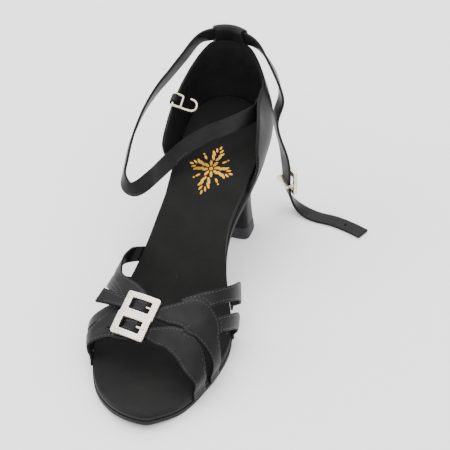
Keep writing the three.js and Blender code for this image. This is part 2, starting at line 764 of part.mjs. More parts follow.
const hookRod = warped(meshOf(new THREE.CylinderGeometry(WIRE / 2, WIRE / 2, 1, 7, 22)), ([x, y, z]) => {
  const side = hookWay.getTangentAt(y + 0.5).cross(hookNormal).normalize();
  return hookWay.getPointAt(y + 0.5).addScaledVector(side, x).addScaledVector(hookNormal, z).toArray();
});
const hook = joined([closed(meshOf(eye)), hookRod]);

// Heel: how far the section has grown from the tip's outline to the seat's, by height
const HEEL = [
  // height, growth, size
  [0.00, 0.00, 0.90],
  [0.15, 0.00, 0.82],
  [0.35, 0.02, 0.78],
  [0.55, 0.09, 0.80],
  [0.70, 0.24, 0.88],
  [0.82, 0.46, 0.96],
  [0.92, 0.74, 1.00],
  [1.00, 1.00, 1.00],
];
const seatPolygon = outsoleTrace.filter((p) => p.y >= BREAST_Y);
const seatCentre = new THREE.Vector2(
  seatPolygon.reduce((sum, p) => sum + p.x, 0) / seatPolygon.length,
  (BREAST_Y + Math.max(...seatPolygon.map((p) => p.y))) / 2);
const tipCentre = new THREE.Vector2(TIP_X, TIP_FRONT_Y + TIP_LENGTH / 2);

function seatRadius(angle) {
  const d = new THREE.Vector2(Math.cos(angle), Math.sin(angle));
  let radius = 0;
  for (let i = 0; i < seatPolygon.length; i++) {
    const p = seatPolygon[i].clone().sub(seatCentre);
    const edge = seatPolygon[(i + 1) % seatPolygon.length].clone().sub(seatCentre).sub(p);
    const cross = d.cross(edge);
    if (Math.abs(cross) < 1e-9) continue;
    const along = p.cross(edge) / cross;
    const share = p.cross(d) / cross;
    if (share >= -1e-6 && share <= 1 + 1e-6 && along > radius) radius = along;
  }
  return radius;
}
function tipRadius(angle) {
  const square = Math.sin(angle) < 0 ? 6 : 2.6;
  const [x, y] = [Math.abs(Math.cos(angle)) / (TIP_WIDTH / 2), Math.abs(Math.sin(angle)) / (TIP_LENGTH / 2)];
  return (x ** square + y ** square) ** (-1 / square);
}
// A standing block whose section at height k is given by growth and size
function heelBlock(bottom, top, levels, section) {
  const round = new THREE.CylinderGeometry(1, 1, 1, 32, levels).rotateX(Math.PI / 2).translate(0, 0, 0.5);
  const mesh = refine(meshOf(round), (p, q) => (p[2] === q[2] && (p[2] === 0 || p[2] === 1)
    ? Math.abs(Math.hypot(p[0], p[1]) - Math.hypot(q[0], q[1])) : 0), 0.55);
  return warped(mesh, ([x, y, k]) => {
    const angle = Math.atan2(y, x);
    const [growth, size] = section(k);
    const reach = THREE.MathUtils.lerp(tipRadius(angle) * size, seatRadius(angle), growth);
    const radius = Math.hypot(x, y) * reach;
    const px = THREE.MathUtils.lerp(tipCentre.x, seatCentre.x, growth) + radius * Math.cos(angle);
    const py = THREE.MathUtils.lerp(tipCentre.y, seatCentre.y, growth) + radius * Math.sin(angle);
    return [px, py, bottom + k * (top(py) - bottom)];
  });
}
const heel = heelBlock(
  TIP_HEIGHT + GAP, (y) => soleUnder(y) - GAP, 10, (k) => [follow(HEEL, k, 1), follow(HEEL, k, 2)]);
const heelTip = heelBlock(0, () => TIP_HEIGHT, 1, (k) => [0, 1 - (1 - HEEL[0][2]) * k]);

// Ankle strap as it lies: middle line and direction of its width
const STRAP_OUTER = [
  // x, y, z, width towards x, y, z
  [8.4, 109.7, 84.5, -0.40, 0.50, 0.77],
  [-3.0, 103.3, 80.6, -0.45, 0.50, 0.75],
  [-12.9, 97.0, 75.7, -0.45, 0.50, 0.75],
  [-21.3, 91.0, 68.8, -0.45, 0.50, 0.75],
  [-29.0, 87.0, 60.3, -0.40, 0.50, 0.78],
  [-35.9, 86.4, 51.9, -0.30, 0.50, 0.82],
  [-42.7, 82.6, 45.9, -0.20, 0.45, 0.87],
  [-48.9, 82.9, 42.9, 0.00, 0.30, 0.95],
  [-54.4, 87.3, 45.7, 0.25, 0.10, 0.95],
  [-55.8, 96.2, 50.4, 0.30, -0.10, 0.95],
  [-56.0, 108.2, 60.8, 0.35, -0.25, 0.90],
  [-52.5, 123.8, 74.0, 0.30, -0.30, 0.90],
  [-47.3, 134.3, 83.0, 0.25, -0.30, 0.92],
  [-40.5, 140.3, 92.0, 0.20, -0.38, 0.92],
  [-33.1, 144.8, 102.4, 0.14, -0.44, 0.90],
  [-24.6, 147.6, 114.6, 0.15, -0.50, 0.85],
];
const STRAP_INNER = [
  // x, y, z, width towards x, y, z
  [29.7, 146.4, 41.0, 0.70, -0.70, 0.00],
  [31.0, 146.7, 28.0, 0.70, -0.70, 0.00],
  [31.4, 146.5, 16.0, 0.65, -0.75, 0.00],
  [35.5, 145.0, 7.5, 0.40, -0.90, 0.10],
  [43.0, 143.2, 2.2, 0.10, -1.00, 0.00],
  [52.5, 140.5, 1.1, -0.10, -0.99, 0.00],
  [62.8, 139.8, 1.1, -0.10, -0.99, 0.00],
  [73.9, 136.8, 1.1, -0.20, -0.97, 0.00],
  [84.9, 132.3, 1.1, -0.35, -0.94, 0.00],
];
// Strap beside the cup's inner wall, below the tunnel
const STRAP_BESIDE = [
  // round the seat, height, outwards, width round the seat, width upwards
  [-19, 50, 4.6, -0.5, 0.85],
  [-24.5, 42, 7.2, -0.8, 0.6],
  [-28, 30, 9.0, -1, 0.2],
  [-29, 16, 8.6, -1, 0],
  [-29.5, 2, 7.0, -1, 0],
];
// Row of the strap where it follows the cup
function cupRow([c, h, t, dc, dh]) {
  const [low, high] = [onCup([c - dc, h - dh, t]), onCup([c + dc, h + dh, t])];
  return [...onCup([c, h, t]), ...high.map((v, i) => v - low[i])];
}
const sewnOn = [-41, -47].map((c) => cupRow([c, STRAP_SEAT, -ANKLE_T / 2 - 4 * GAP, 0, 1]));
const tunnelRun = [1.1, 0.6, 0, -0.6, -1.1].map((k) => cupRow(
  [(k * TUNNEL_LENGTH) / 2, tunnel.middle, COUNTER_T / 2, 0, 1]));
const strapRows = [...sewnOn, ...STRAP_OUTER, ...tunnelRun, ...STRAP_BESIDE.map(cupRow), ...STRAP_INNER];
const strapPath = curve(strapRows);
const strapWidths = curve(strapRows.map((r) => r.slice(3)));
function strapPoint(u, offset, t) {
  const k = strapPath.getUtoTmapping(u);
  const p = strapPath.getPoint(k);
  const along = strapPath.getTangent(k);
  const width = strapWidths.getPoint(k);
  const across = width.addScaledVector(along, -width.dot(along)).normalize();
  const out = along.clone().cross(across);
  return p.addScaledVector(across, offset).addScaledVector(out, t).toArray();
}
const ankleStrap = warped(grid(100, 2), ([u, v, w]) => strapPoint(
  u, (v - 0.5) * ANKLE_WIDTH, (w - 0.5) * ANKLE_T));

// Buckle on the ankle strap, beside the heel
const ANKLE_BUCKLE = {
  length: 18,
  width: ANKLE_WIDTH + 6,
  openingLength: 11,
  openingWidth: ANKLE_WIDTH + 2 * SLOT_GAP,
  barUnder: -ANKLE_T / 2 - SLOT_GAP - BAR,
  frameUnder: ANKLE_T / 2 + SLOT_GAP,
};
const strapLength = strapPath.getLength();
const BUCKLE_AT = 0.842; // share of the strap's length
const ankleBuckle = joined(
  buckleParts(ANKLE_BUCKLE, (p, q, t) => strapPoint(BUCKLE_AT + p / strapLength, -q, -t)));

const shoe = new THREE.Group();
function add(name, geometry, color, roughness, metalness) {
  const mesh = new THREE.Mesh(geometry, new THREE.MeshStandardMaterial({ color, roughness, metalness }));
  mesh.name = name;
  shoe.add(mesh);
}
add('outsole', soleLayer(outsoleTrace, 0, OUTSOLE_T), 0x4a4038, 0.95, 0);
add('insole_board', soleLayer(boardTrace, BOARD_UNDER, BOARD_UNDER + BOARD_T), 0x8a7a64, 0.9, 0);
add('insole_sock', soleLayer(boardTrace, SOCK_UNDER, SOCK_TOP), 0x141412, 0.95, 0);
add('heel', heel, 0x1d1d1f, 0.45, 0);
add('heel_tip', heelTip, 0x3a3a3c, 0.6, 0);
add('counter', counter, 0x1d1d1f, 0.45, 0);
add('strap_tunnel', tunnel.mesh, 0x1d1d1f, 0.45, 0);
add('vamp_inner', vampInner, 0x1f1f21, 0.42, 0);
add('vamp_outer', vampOuter, 0x1f1f21, 0.42, 0);
add('vamp_buckle', vampBuckle, 0xd8d4c8, 0.25, 0.9);
add('ankle_strap', ankleStrap, 0x1f1f21, 0.42, 0);
add('ankle_buckle', ankleBuckle, 0xd8d4c8, 0.25, 0.9);
add('hook_tab', tab.mesh, 0x1f1f21, 0.42, 0);
add('hook', hook, 0xcfc6b4, 0.3, 0.9);

export default shoe;
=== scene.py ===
# %% [markdown]
# # A ballroom dance sandal, dressed for the camera
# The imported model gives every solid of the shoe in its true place: sole layers, heel, heel cup, strapped vamp,
# buckles and ankle strap. This lesson takes each solid as a pattern and turns it into the piece a shoemaker would
# see: rounded satin edges, stitch rows, nap on the insole, stones on the buckles.

# %% The frame and its box
import math
import bpy
import bmesh
from mathutils import Matrix, Vector
from mathutils.bvhtree import BVHTree


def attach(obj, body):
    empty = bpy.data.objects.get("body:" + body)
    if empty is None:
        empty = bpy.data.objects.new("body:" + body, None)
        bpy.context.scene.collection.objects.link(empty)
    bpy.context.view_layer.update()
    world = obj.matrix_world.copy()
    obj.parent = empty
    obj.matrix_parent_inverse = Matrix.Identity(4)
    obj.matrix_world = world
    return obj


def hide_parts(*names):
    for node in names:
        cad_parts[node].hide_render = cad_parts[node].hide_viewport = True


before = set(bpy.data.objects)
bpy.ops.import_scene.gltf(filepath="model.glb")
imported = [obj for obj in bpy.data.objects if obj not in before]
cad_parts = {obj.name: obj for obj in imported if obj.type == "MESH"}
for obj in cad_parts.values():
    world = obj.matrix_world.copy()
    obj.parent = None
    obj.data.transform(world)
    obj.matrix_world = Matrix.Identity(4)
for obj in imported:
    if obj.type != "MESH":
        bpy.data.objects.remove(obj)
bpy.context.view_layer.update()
MM = 0.001

# %% [markdown]
# Every new piece starts with nothing selected, because an operator acts on whatever is. A piece that follows a
# solid of the frame starts as a copy of its mesh: the loose triangles are merged, paired into quads again, and
# then shaped. The copy replaces the solid in the picture and rides on the same body.

# %% Helpers for pieces
def select(obj):
    if bpy.context.object and bpy.context.object.mode != "OBJECT":
        bpy.ops.object.mode_set(mode="OBJECT")
    bpy.ops.object.select_all(action="DESELECT")
    if obj:
        obj.select_set(True)
        bpy.context.view_layer.objects.active = obj


def copy_of(node, name):
    obj = bpy.data.objects.new(name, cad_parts[node].data.copy())
    bpy.context.collection.objects.link(obj)
    obj.data.materials.clear()
    select(obj)
    bpy.ops.object.mode_set(mode="EDIT")
    bpy.ops.mesh.select_all(action="SELECT")
    bpy.ops.mesh.remove_doubles(threshold=0.002 * MM)
    bpy.ops.mesh.tris_convert_to_quads(face_threshold=math.radians(12), shape_threshold=math.radians(60))
    bpy.ops.object.mode_set(mode="OBJECT")
    return obj


def apply(obj, kind, **settings):
    select(obj)
    bpy.ops.object.modifier_add(type=kind)
    modifier = obj.modifiers[-1]
    for key, value in settings.items():
        setattr(modifier, key, value)
    bpy.ops.object.modifier_apply(modifier=modifier.name)


def rounded(obj, edge, levels=1, angle=45, segments=2):
    apply(obj, "BEVEL", width=edge * MM, segments=segments, limit_method="ANGLE",
          angle_limit=math.radians(angle), use_clamp_overlap=True)
    if levels:
        apply(obj, "SUBSURF", levels=levels, render_levels=levels)
    smooth(obj)


def smooth(obj, angle=60):
    select(obj)
    bpy.ops.object.shade_smooth_by_angle(angle=math.radians(angle))


def settle(obj, slot, *nodes, body="shoe"):
    if nodes:
        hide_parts(*nodes)
    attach(obj, body)
    print(obj.name, "faces", len(obj.data.polygons))
    return obj


# %% [markdown]
# ## Materials
# Each finish is built from what the real thing is. Colours are given as sRGB hex and turned to linear once.
# One small function adds a node, sets its values and links its inputs. Patterns read Object coordinates, which
# are metres here, so a scale of 1000 divided by a spacing in millimetres gives that spacing.

# %% Helpers for materials
def linear(code):
    values = [int(code[i:i + 2], 16) / 255 for i in (0, 2, 4)]
    return [v / 12.92 if v <= 0.04045 else ((v + 0.055) / 1.055) ** 2.4 for v in values] + [1.0]


def node(material, kind, inputs=None, **settings):
    made = material.node_tree.nodes.new(kind)
    for key, value in settings.items():
        setattr(made, key, value)
    for key, value in (inputs or {}).items():
        if isinstance(value, bpy.types.NodeSocket):
            material.node_tree.links.new(value, made.inputs[key])
        else:
            made.inputs[key].default_value = value
    return made


def finish(name, color, roughness, **sockets):
    material = bpy.data.materials.new(name)
    material.use_nodes = True
    shader = material.node_tree.nodes["Principled BSDF"]
    shader.inputs["Base Color"].default_value = linear(color)
    shader.inputs["Roughness"].default_value = roughness
    for key, value in sockets.items():
        shader.inputs[key.replace("_", " ")].default_value = value
    coordinates = node(material, "ShaderNodeTexCoord").outputs["Object"]
    return material, shader, coordinates


def link(material, value, shader, socket):
    material.node_tree.links.new(value, shader.inputs[socket])


def mottled(material, shader, coordinates, spacing, dark, light, detail=4):
    noise = node(material, "ShaderNodeTexNoise", {"Vector": coordinates, "Scale": 1000 / spacing, "Detail": detail})
    ramp = node(material, "ShaderNodeValToRGB", {"Fac": noise.outputs["Fac"]})
    for stop, (position, color) in zip(ramp.color_ramp.elements, ((0.35, dark), (0.68, light))):
        stop.position = position
        stop.color = linear(color)
    link(material, ramp.outputs["Color"], shader, "Base Color")
    return noise


def bumped(material, shader, height, strength, depth, below=None):
    bump = node(material, "ShaderNodeBump", {"Height": height, "Strength": strength, "Distance": depth * MM})
    if below:
        material.node_tree.links.new(below.outputs["Normal"], bump.inputs["Normal"])
    link(material, bump.outputs["Normal"], shader, "Normal")
    return bump


# %% [markdown]
# ### Satin
# Black polyester satin: long floats of thread lie side by side, so it is dark with a broad, soft sheen that
# streaks across the weave. Real threads are 0.1 mm apart, too fine for the picture, so the streaks are drawn
# 0.5 mm apart, and a slow ripple of some 9 mm stands for the cloth's tension over its backing.

# %% Satin and lining
def satin(name, color, light, roughness, ripple):
    material, shader, place = finish(name, color, roughness, Sheen_Weight=0.03, Sheen_Roughness=0.4,
                                     Specular_IOR_Level=0.16)
    shader.inputs["Sheen Tint"].default_value = linear("9A9A9E")
    mottled(material, shader, place, 7, color, light)
    stretched = node(material, "ShaderNodeMapping", {"Vector": place, "Scale": (2000, 260, 2000)})
    threads = node(material, "ShaderNodeTexNoise", {"Vector": stretched.outputs["Vector"], "Scale": 1.0, "Detail": 3})
    slow = node(material, "ShaderNodeTexNoise", {"Vector": place, "Scale": 1000 / 9, "Detail": 1})
    first = bumped(material, shader, slow.outputs["Fac"], 0.5, ripple)
    bumped(material, shader, threads.outputs["Fac"], 0.25, 0.08, first)
    rough = node(material, "ShaderNodeMapRange", {
        "Value": threads.outputs["Fac"], "To Min": roughness - 0.08, "To Max": roughness + 0.1})
    link(material, rough.outputs["Result"], shader, "Roughness")
    return material


black_satin = satin("black_polyester_satin", "0A0A0B", "111113", 0.4, 0.45)
heel_satin = satin("black_satin_over_heel", "0A0A0B", "0F0F11", 0.38, 0.25)
lining = satin("black_woven_lining", "0E0E0F", "141415", 0.72, 0.3)
print("satin made")

# %% [markdown]
# ### Nubuck and suede
# The insole is buffed leather, 0.4 mm grain with a nap that swallows light, and a few pale specks of dust caught
# in it. The sole's tread is split suede, with its edge inked black, so it is taken as one dark brown-black.

# %% Nubuck, suede and rubber
def nap(name, dark, light, grain, roughness, specks=False):
    material, shader, place = finish(name, dark, roughness, Sheen_Weight=0.12, Sheen_Roughness=0.6,
                                     Specular_IOR_Level=0.25)
    shader.inputs["Sheen Tint"].default_value = linear("77777A")
    mottled(material, shader, place, 14, dark, light, 6)
    fine = node(material, "ShaderNodeTexNoise", {"Vector": place, "Scale": 1000 / grain, "Detail": 5})
    bumped(material, shader, fine.outputs["Fac"], 0.6, 0.25)
    if specks:
        cells = node(material, "ShaderNodeTexVoronoi", {"Vector": place, "Scale": 1000 / 7, "Randomness": 1.0})
        dust = node(material, "ShaderNodeMapRange", {
            "Value": cells.outputs["Distance"], "From Min": 0.03, "From Max": 0.045, "To Min": 1.0, "To Max": 0.0})
        base = shader.inputs["Base Color"].links[0].from_socket
        mixed = node(material, "ShaderNodeMix", {0: dust.outputs["Result"], 6: base, 7: linear("3C3C3A")},
                     data_type="RGBA")
        link(material, mixed.outputs[2], shader, "Base Color")
    return material


nubuck = nap("black_nubuck", "0C0C0B", "121211", 0.4, 0.94, specks=True)
suede = nap("inked_split_suede", "1A1816", "2A2623", 0.6, 0.95)
edge_ink = nap("black_edge_binding", "0B0B0C", "111112", 0.5, 0.6)
rubber = nap("dark_moulded_rubber", "222224", "2C2C2E", 0.8, 0.62)

# %% [markdown]
# ### Metals, stones and thread
# The buckles are cast zinc, plated pale nickel and set with rows of foil-backed glass stones. A foil-backed stone
# throws its light back like a mirror with facets, so it is made as bright, smooth metal. The hook is nickelled
# wire. The gold ornament is foil pressed into the insole.

# %% Metal, stone, foil and thread
def metal(name, color, roughness, grain=1.2):
    material, shader, place = finish(name, color, roughness, Metallic=1.0)
    noise = node(material, "ShaderNodeTexNoise", {"Vector": place, "Scale": 1000 / grain, "Detail": 3})
    worn = node(material, "ShaderNodeMapRange", {
        "Value": noise.outputs["Fac"], "To Min": roughness * 0.7, "To Max": roughness * 1.5})
    link(material, worn.outputs["Result"], shader, "Roughness")
    bumped(material, shader, noise.outputs["Fac"], 0.2, 0.05)
    return material


plated = metal("pale_nickel_plated_zinc", "E6DDC9", 0.3)
stone, stone_shader, _ = finish("foil_backed_glass_stone", "FBFAF6", 0.07, Metallic=0.45, Specular_IOR_Level=1.0)
wire = metal("nickelled_steel_wire", "CFC5AF", 0.28)
foil = metal("pressed_gold_foil", "B5862C", 0.36, 0.7)
thread, thread_shader, _ = finish("black_polyester_thread", "222225", 0.5, Sheen_Weight=0.25)
pale_thread, _, _ = finish("pale_basting_thread", "8A8A88", 0.7)
# painted shade: a near-black colour laid on as the shadowed inside of a hole
painted_hole_shade, _, _ = finish("punched_hole_shadow", "060606", 0.9)
print("metals, stones and thread made")


def wear(obj, *materials):
    obj.data.materials.clear()
    for material in materials:
        obj.data.materials.append(material)


# %% [markdown]
# ## Sole, board and insole
# The layers of the sole keep their plan. The outsole's edge is hardly rounded, the board is wrapped in fabric,
# and the soft insole rolls over at its edge, so each gets its own edge radius before one level of subdivision.

# %% Sole layers
outsole = copy_of("outsole", "suede_outsole")
rounded(outsole, 0.35)
wear(outsole, suede, edge_ink)
for face in outsole.data.polygons:
    face.material_index = int(face.normal.z > -0.6)
settle(outsole, "sole_suede", "outsole")

board = copy_of("insole_board", "covered_insole_board")
rounded(board, 0.4)
wear(board, edge_ink)
settle(board, "board_cover", "insole_board")

sock = copy_of("insole_sock", "nubuck_insole")
rounded(sock, 1.1, segments=3)
wear(sock, nubuck)
settle(sock, "sock_nubuck", "insole_sock")

# %% [markdown]
# ## Heel and its tip
# The heel is a moulded block under stretched satin. It flares from the tip to the seat, with a crisp breast edge
# where the satin turns in. The tip is a moulded rubber block with a small bevel.

# %% Heel
heel = copy_of("heel", "satin_covered_heel")
rounded(heel, 0.5, angle=50)
wear(heel, heel_satin)
settle(heel, "heel_satin", "heel")

tip = copy_of("heel_tip", "rubber_heel_tip")
rounded(tip, 0.5, angle=50)
wear(tip, rubber)
settle(tip, "tip_rubber", "heel_tip")

# %% [markdown]
# ## Upper
# The heel cup is satin outside and woven lining inside, folded over at its edges. Faces that look towards the
# foot take the lining. The vamp's straps are thinner, with folded edges some 0.4 mm round.

# %% Heel cup, tunnel and hook tab
def lined(obj, outer, inner, middle_x=-2.0, low=0.0):
    wear(obj, outer, inner)
    for face in obj.data.polygons:
        centre, normal = face.center, face.normal
        towards = Vector((middle_x * MM - centre.x, max(118 * MM - centre.y, -30 * MM) if centre.y > 0.118 else 0, 0))
        if towards.length and normal.dot(towards.normalized()) > 0.35:
            face.material_index = 1


cup = copy_of("counter", "satin_heel_cup")
rounded(cup, 0.6)
lined(cup, black_satin, lining)
settle(cup, "upper_satin", "counter")

tunnel = copy_of("strap_tunnel", "satin_strap_tunnel")
rounded(tunnel, 0.25, levels=1, angle=50)
wear(tunnel, black_satin)
settle(tunnel, "upper_satin", "strap_tunnel")

tab = copy_of("hook_tab", "satin_hook_tab")
rounded(tab, 0.15, levels=1, angle=50)
wear(tab, black_satin)
settle(tab, "upper_satin", "hook_tab")

# %% Soft creases
def creased(obj, rows):
    """Soft troughs and ridges: rows of start, end, half width and depth in mm, a ridge having a negative depth."""
    mesh = obj.data
    places = [(vertex.co.copy(), vertex.normal.copy()) for vertex in mesh.vertices]
    lines = [(Vector(start) * MM, (Vector(end) - Vector(start)) * MM, width * MM, depth * MM)
             for start, end, width, depth in rows]
    moved = []
    for place, normal in places:
        down = 0.0
        for start, way, width, depth in lines:
            share = (place - start).dot(way) / way.length_squared
            if 0 < share < 1:
                away = (place - start - way * share).length / width
                down += depth * math.sin(math.pi * share) * math.exp(-away * away)
        moved.extend(place - normal * down)
    mesh.vertices.foreach_set("co", moved)
    mesh.update()


# %% Vamp and ankle strap
vamp_inner = copy_of("vamp_inner", "satin_vamp_inner")
rounded(vamp_inner, 0.3, levels=0, angle=50)
apply(vamp_inner, "SUBSURF", levels=1, render_levels=1, subdivision_type="SIMPLE")
creased(vamp_inner, [
    # start, end, half width, depth
    ((6, -8, 38), (30, -8, 34), 2.2, 0.35),
    ((10, -14, 37), (34, -17, 30), 2.0, -0.25),
    ((8, -24, 33), (26, -31, 27), 2.2, 0.3),
    ((16, -22, 33), (33, -34, 20), 2.0, -0.25),
    ((20, 6, 38), (34, 22, 33), 1.6, 0.2),
])
smooth(vamp_inner)
wear(vamp_inner, black_satin)
settle(vamp_inner, "upper_satin", "vamp_inner")

vamp_outer = copy_of("vamp_outer", "satin_vamp_outer")
rounded(vamp_outer, 0.3, levels=0, angle=50)
apply(vamp_outer, "SUBSURF", levels=1, render_levels=1, subdivision_type="SIMPLE")
creased(vamp_outer, [
    # start, end, half width, depth
    ((-18, -14, 36), (-36, -24, 20), 2.2, 0.35),
    ((-14, -24, 32), (-34, -28, 15), 2.0, -0.25),
    ((-24, 4, 37), (-35, 22, 30), 1.8, 0.25),
])
smooth(vamp_outer)
wear(vamp_outer, black_satin)
settle(vamp_outer, "upper_satin", "vamp_outer")

strap = copy_of("ankle_strap", "satin_ankle_strap")
rounded(strap, 0.4, levels=1, angle=50)
wear(strap, black_satin)
settle(strap, "upper_satin", "ankle_strap")

# %% [markdown]
# ## Stitch rows
# Every folded edge is held by a row of stitches some 1.3 mm in from the edge, 2.2 mm apart. The rows are found
# from the solids themselves: where a wide face meets a narrow edge face there is a sharp edge, these edges join
# into lines, and the line is moved inwards over the wide face. One stitch is modelled and copied along the line.

# %% Edge lines of a solid
def merged(node):
    mesh = bmesh.new()
    mesh.from_mesh(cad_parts[node].data)
    bmesh.ops.remove_doubles(mesh, verts=mesh.verts, dist=0.002 * MM)
    mesh.normal_update()
    return mesh


def edge_lines(node, wanted, sharp=50):
    """Lines of points with their inward direction and normal, along sharp edges beside faces that are wanted."""
    mesh = merged(node)
    steps = {}
    for edge in mesh.edges:
        if len(edge.link_faces) != 2 or edge.calc_face_angle(0) < math.radians(sharp):
            continue
        for face in edge.link_faces:
            if wanted(face.calc_center_median(), face.normal):
                for loop in face.loops:
                    if loop.edge == edge:
                        start, end = loop.vert, loop.link_loop_next.vert
                        inward = face.normal.cross(end.co - start.co).normalized()
                        steps[start.index] = (end.index, inward, face.normal.copy())
    places = {v.index: v.co.copy() for v in mesh.verts}
    mesh.free()
    starts = [s for s in steps if s not in {end for end, _, _ in steps.values()}]
    lines, used = [], set()
    for start in starts + list(steps):
        line = []
        while start in steps and start not in used:
            used.add(start)
            end, inward, normal = steps[start]
            line.append(((places[start] + places[end]) / 2, inward, normal, (places[end] - places[start]).normalized()))
            start = end
        if len(line) > 3:
            lines.append(line)
    return lines


def spaced(line, pitch):
    """Points at an even pitch along a line, each with its inward direction, normal and direction."""
    out, travelled, wanted_at = [], 0.0, pitch / 2
    for a, b in zip(line, line[1:]):
        length = (b[0] - a[0]).length
        if length > 8 * MM:
            continue
        while travelled + length >= wanted_at and length > 0:
            k = (wanted_at - travelled) / length
            out.append(tuple(p.lerp(q, k) for p, q in zip(a, b)))
            wanted_at += pitch
        travelled += length
    return out


# %% One stitch, and rows of it
select(None)
bpy.ops.mesh.primitive_cylinder_add(vertices=6, radius=1, depth=1.0, location=(0, 0, 0))
pattern = bpy.context.object
bpy.ops.object.mode_set(mode="EDIT")
bpy.ops.mesh.select_all(action="SELECT")
bpy.ops.mesh.bevel(offset=0.3, segments=1)
bpy.ops.object.mode_set(mode="OBJECT")
stitch_points = [v.co.copy() for v in pattern.data.vertices]
stitch_faces = [list(f.vertices) for f in pattern.data.polygons]
bpy.data.objects.remove(pattern)


def copies(name, points, faces, frames):
    """One mesh with a copy of points and faces in each frame, a 4 by 4 matrix."""
    all_points, all_faces = [], []
    for matrix in frames:
        base = len(all_points)
        all_points += [matrix @ p for p in points]
        all_faces += [[base + i for i in face] for face in faces]
    mesh = bpy.data.meshes.new(name)
    mesh.from_pydata(all_points, [], all_faces)
    obj = bpy.data.objects.new(name, mesh)
    bpy.context.collection.objects.link(obj)
    return obj


def surface(obj):
    mesh = bmesh.new()
    mesh.from_mesh(obj.data)
    tree = BVHTree.FromBMesh(mesh)
    mesh.free()
    return tree


def stitched(name, node, ground, wanted, inset=1.3, pitch=2.2, size=(0.14, 1.3), material=thread, sharp=50):
    tree = surface(ground)
    frames = []
    for line in edge_lines(node, wanted, sharp):
        for point, inward, normal, along in spaced(line, pitch * MM):
            hit, face_normal, _, away = tree.find_nearest(point + inward.normalized() * inset * MM + normal * 0.1 * MM)
            if hit is None or away > 0.6 * MM or face_normal.dot(normal) < 0.5:
                continue
            along = (along - face_normal * along.dot(face_normal)).normalized()
            side = along.cross(face_normal)
            turn = Matrix((side, face_normal, along)).transposed().to_4x4()
            turn.translation = hit + face_normal * 0.03 * MM
            frames.append(turn @ Matrix.Diagonal((size[0] * MM, size[0] * 0.6 * MM, size[1] * MM, 1)))
    obj = copies(name, stitch_points, stitch_faces, frames)
    wear(obj, material)
    smooth(obj)
    print(name, "stitches", len(frames))
    return settle(obj, "upper_satin")


def facing_out(centre, normal):
    """True for faces that look away from the foot."""
    middle = Vector((8 * MM, centre.y, 14 * MM + max(0, centre.y) * 0.6))
    return normal.dot((centre - middle).normalized()) > 0.45


stitched("vamp_inner_stitching", "vamp_inner", vamp_inner, facing_out)
stitched("vamp_outer_stitching", "vamp_outer", vamp_outer, facing_out)
stitched("heel_cup_stitching", "counter", cup, lambda c, n: True, inset=1.5)
stitched("heel_cup_second_stitching", "counter", cup, lambda c, n: True, inset=3.3)
stitched("ankle_strap_stitching", "ankle_strap", strap, lambda c, n: True, inset=1.3)
stitched("pale_waist_flecks", "insole_sock", sock, lambda c, n: n.z > 0.5 and c.x > 0 and 0.01 < c.y < 0.09,
         inset=2.2, pitch=4.2, size=(0.13, 0.7), material=pale_thread)

# %% [markdown]
# ## Buckles
# The buckles' frames keep their solids, with crisp small bevels. The stones stand in two rows along each rail,
# found by looking down on the frame from outside at each place of a rounded rectangle. A stone is an eight-sided
# cut gem: a flat table, a sloping crown and a short base.

# %% Buckle frames
frame_buckle = copy_of("vamp_buckle", "plated_twin_buckle")
rounded(frame_buckle, 0.25, levels=0, angle=40)
wear(frame_buckle, plated)
settle(frame_buckle, "buckle_metal", "vamp_buckle")

strap_buckle = copy_of("ankle_buckle", "plated_ankle_buckle")
rounded(strap_buckle, 0.25, levels=0, angle=40)
wear(strap_buckle, plated)
settle(strap_buckle, "buckle_metal", "ankle_buckle")

# %% One stone
select(None)
bpy.ops.mesh.primitive_cone_add(vertices=8, radius1=1.0, radius2=0.55, depth=0.5, location=(0, 0, 0.45))
gem = bpy.context.object
bpy.ops.object.mode_set(mode="EDIT")
bpy.ops.mesh.select_all(action="DESELECT")
bpy.ops.object.mode_set(mode="OBJECT")
for polygon in gem.data.polygons:
    polygon.select = polygon.normal.z < -0.9
bpy.ops.object.mode_set(mode="EDIT")
bpy.ops.mesh.extrude_region_move(TRANSFORM_OT_translate={"value": (0, 0, -0.3)})
bpy.ops.transform.resize(value=(0.8, 0.8, 1))
bpy.ops.object.mode_set(mode="OBJECT")
gem_points = [gem.matrix_world @ v.co for v in gem.data.vertices]
gem_faces = [list(f.vertices) for f in gem.data.polygons]
bpy.data.objects.remove(gem)


def paved(name, ground, places, outer, rows, pitch=1.75, radius=0.82):
    """Stones on a buckle frame: places are (centre, along, across) in mm, outer the half length and half width."""
    tree = surface(ground)
    frames, taken = [], []
    for centre, along, across in places:
        centre = Vector(centre) * MM
        along, across = Vector(along).normalized(), Vector(across).normalized()
        out = along.cross(across).normalized()
        for row in rows:
            half_length, half_width = outer[0] - row, outer[1] - row
            count = [max(2, round(2 * h / pitch)) for h in (half_length, half_width)]
            ring = [(-half_length + 2 * half_length * i / count[0], -half_width) for i in range(count[0])]
            ring += [(half_length, -half_width + 2 * half_width * i / count[1]) for i in range(count[1])]
            ring += [(half_length - 2 * half_length * i / count[0], half_width) for i in range(count[0])]
            ring += [(-half_length, half_width - 2 * half_width * i / count[1]) for i in range(count[1])]
            for p, q in ring:
                start = centre + along * p * MM + across * q * MM + out * 7 * MM
                hit, normal, _, _ = tree.ray_cast(start, -out, 14 * MM)
                if hit is None or normal.dot(out) < 0.6 or any((hit - t).length < 1.3 * MM for t in taken):
                    continue
                if (hit - start).length > 9.5 * MM:
                    continue
                taken.append(hit)
                side = normal.orthogonal().normalized()
                turn = Matrix((side, normal.cross(side), normal)).transposed().to_4x4()
                turn.translation = hit + normal * 0.1 * MM
                spin = Matrix.Rotation(0.7 * len(taken), 4, "Z")
                frames.append(turn @ spin @ Matrix.Diagonal((radius * MM, radius * MM, radius * 0.9 * MM, 1)))
    obj = copies(name, gem_points, gem_faces, frames)
    wear(obj, stone)
    print(name, "stones", len(frames))
    return settle(obj, "buckle_metal")


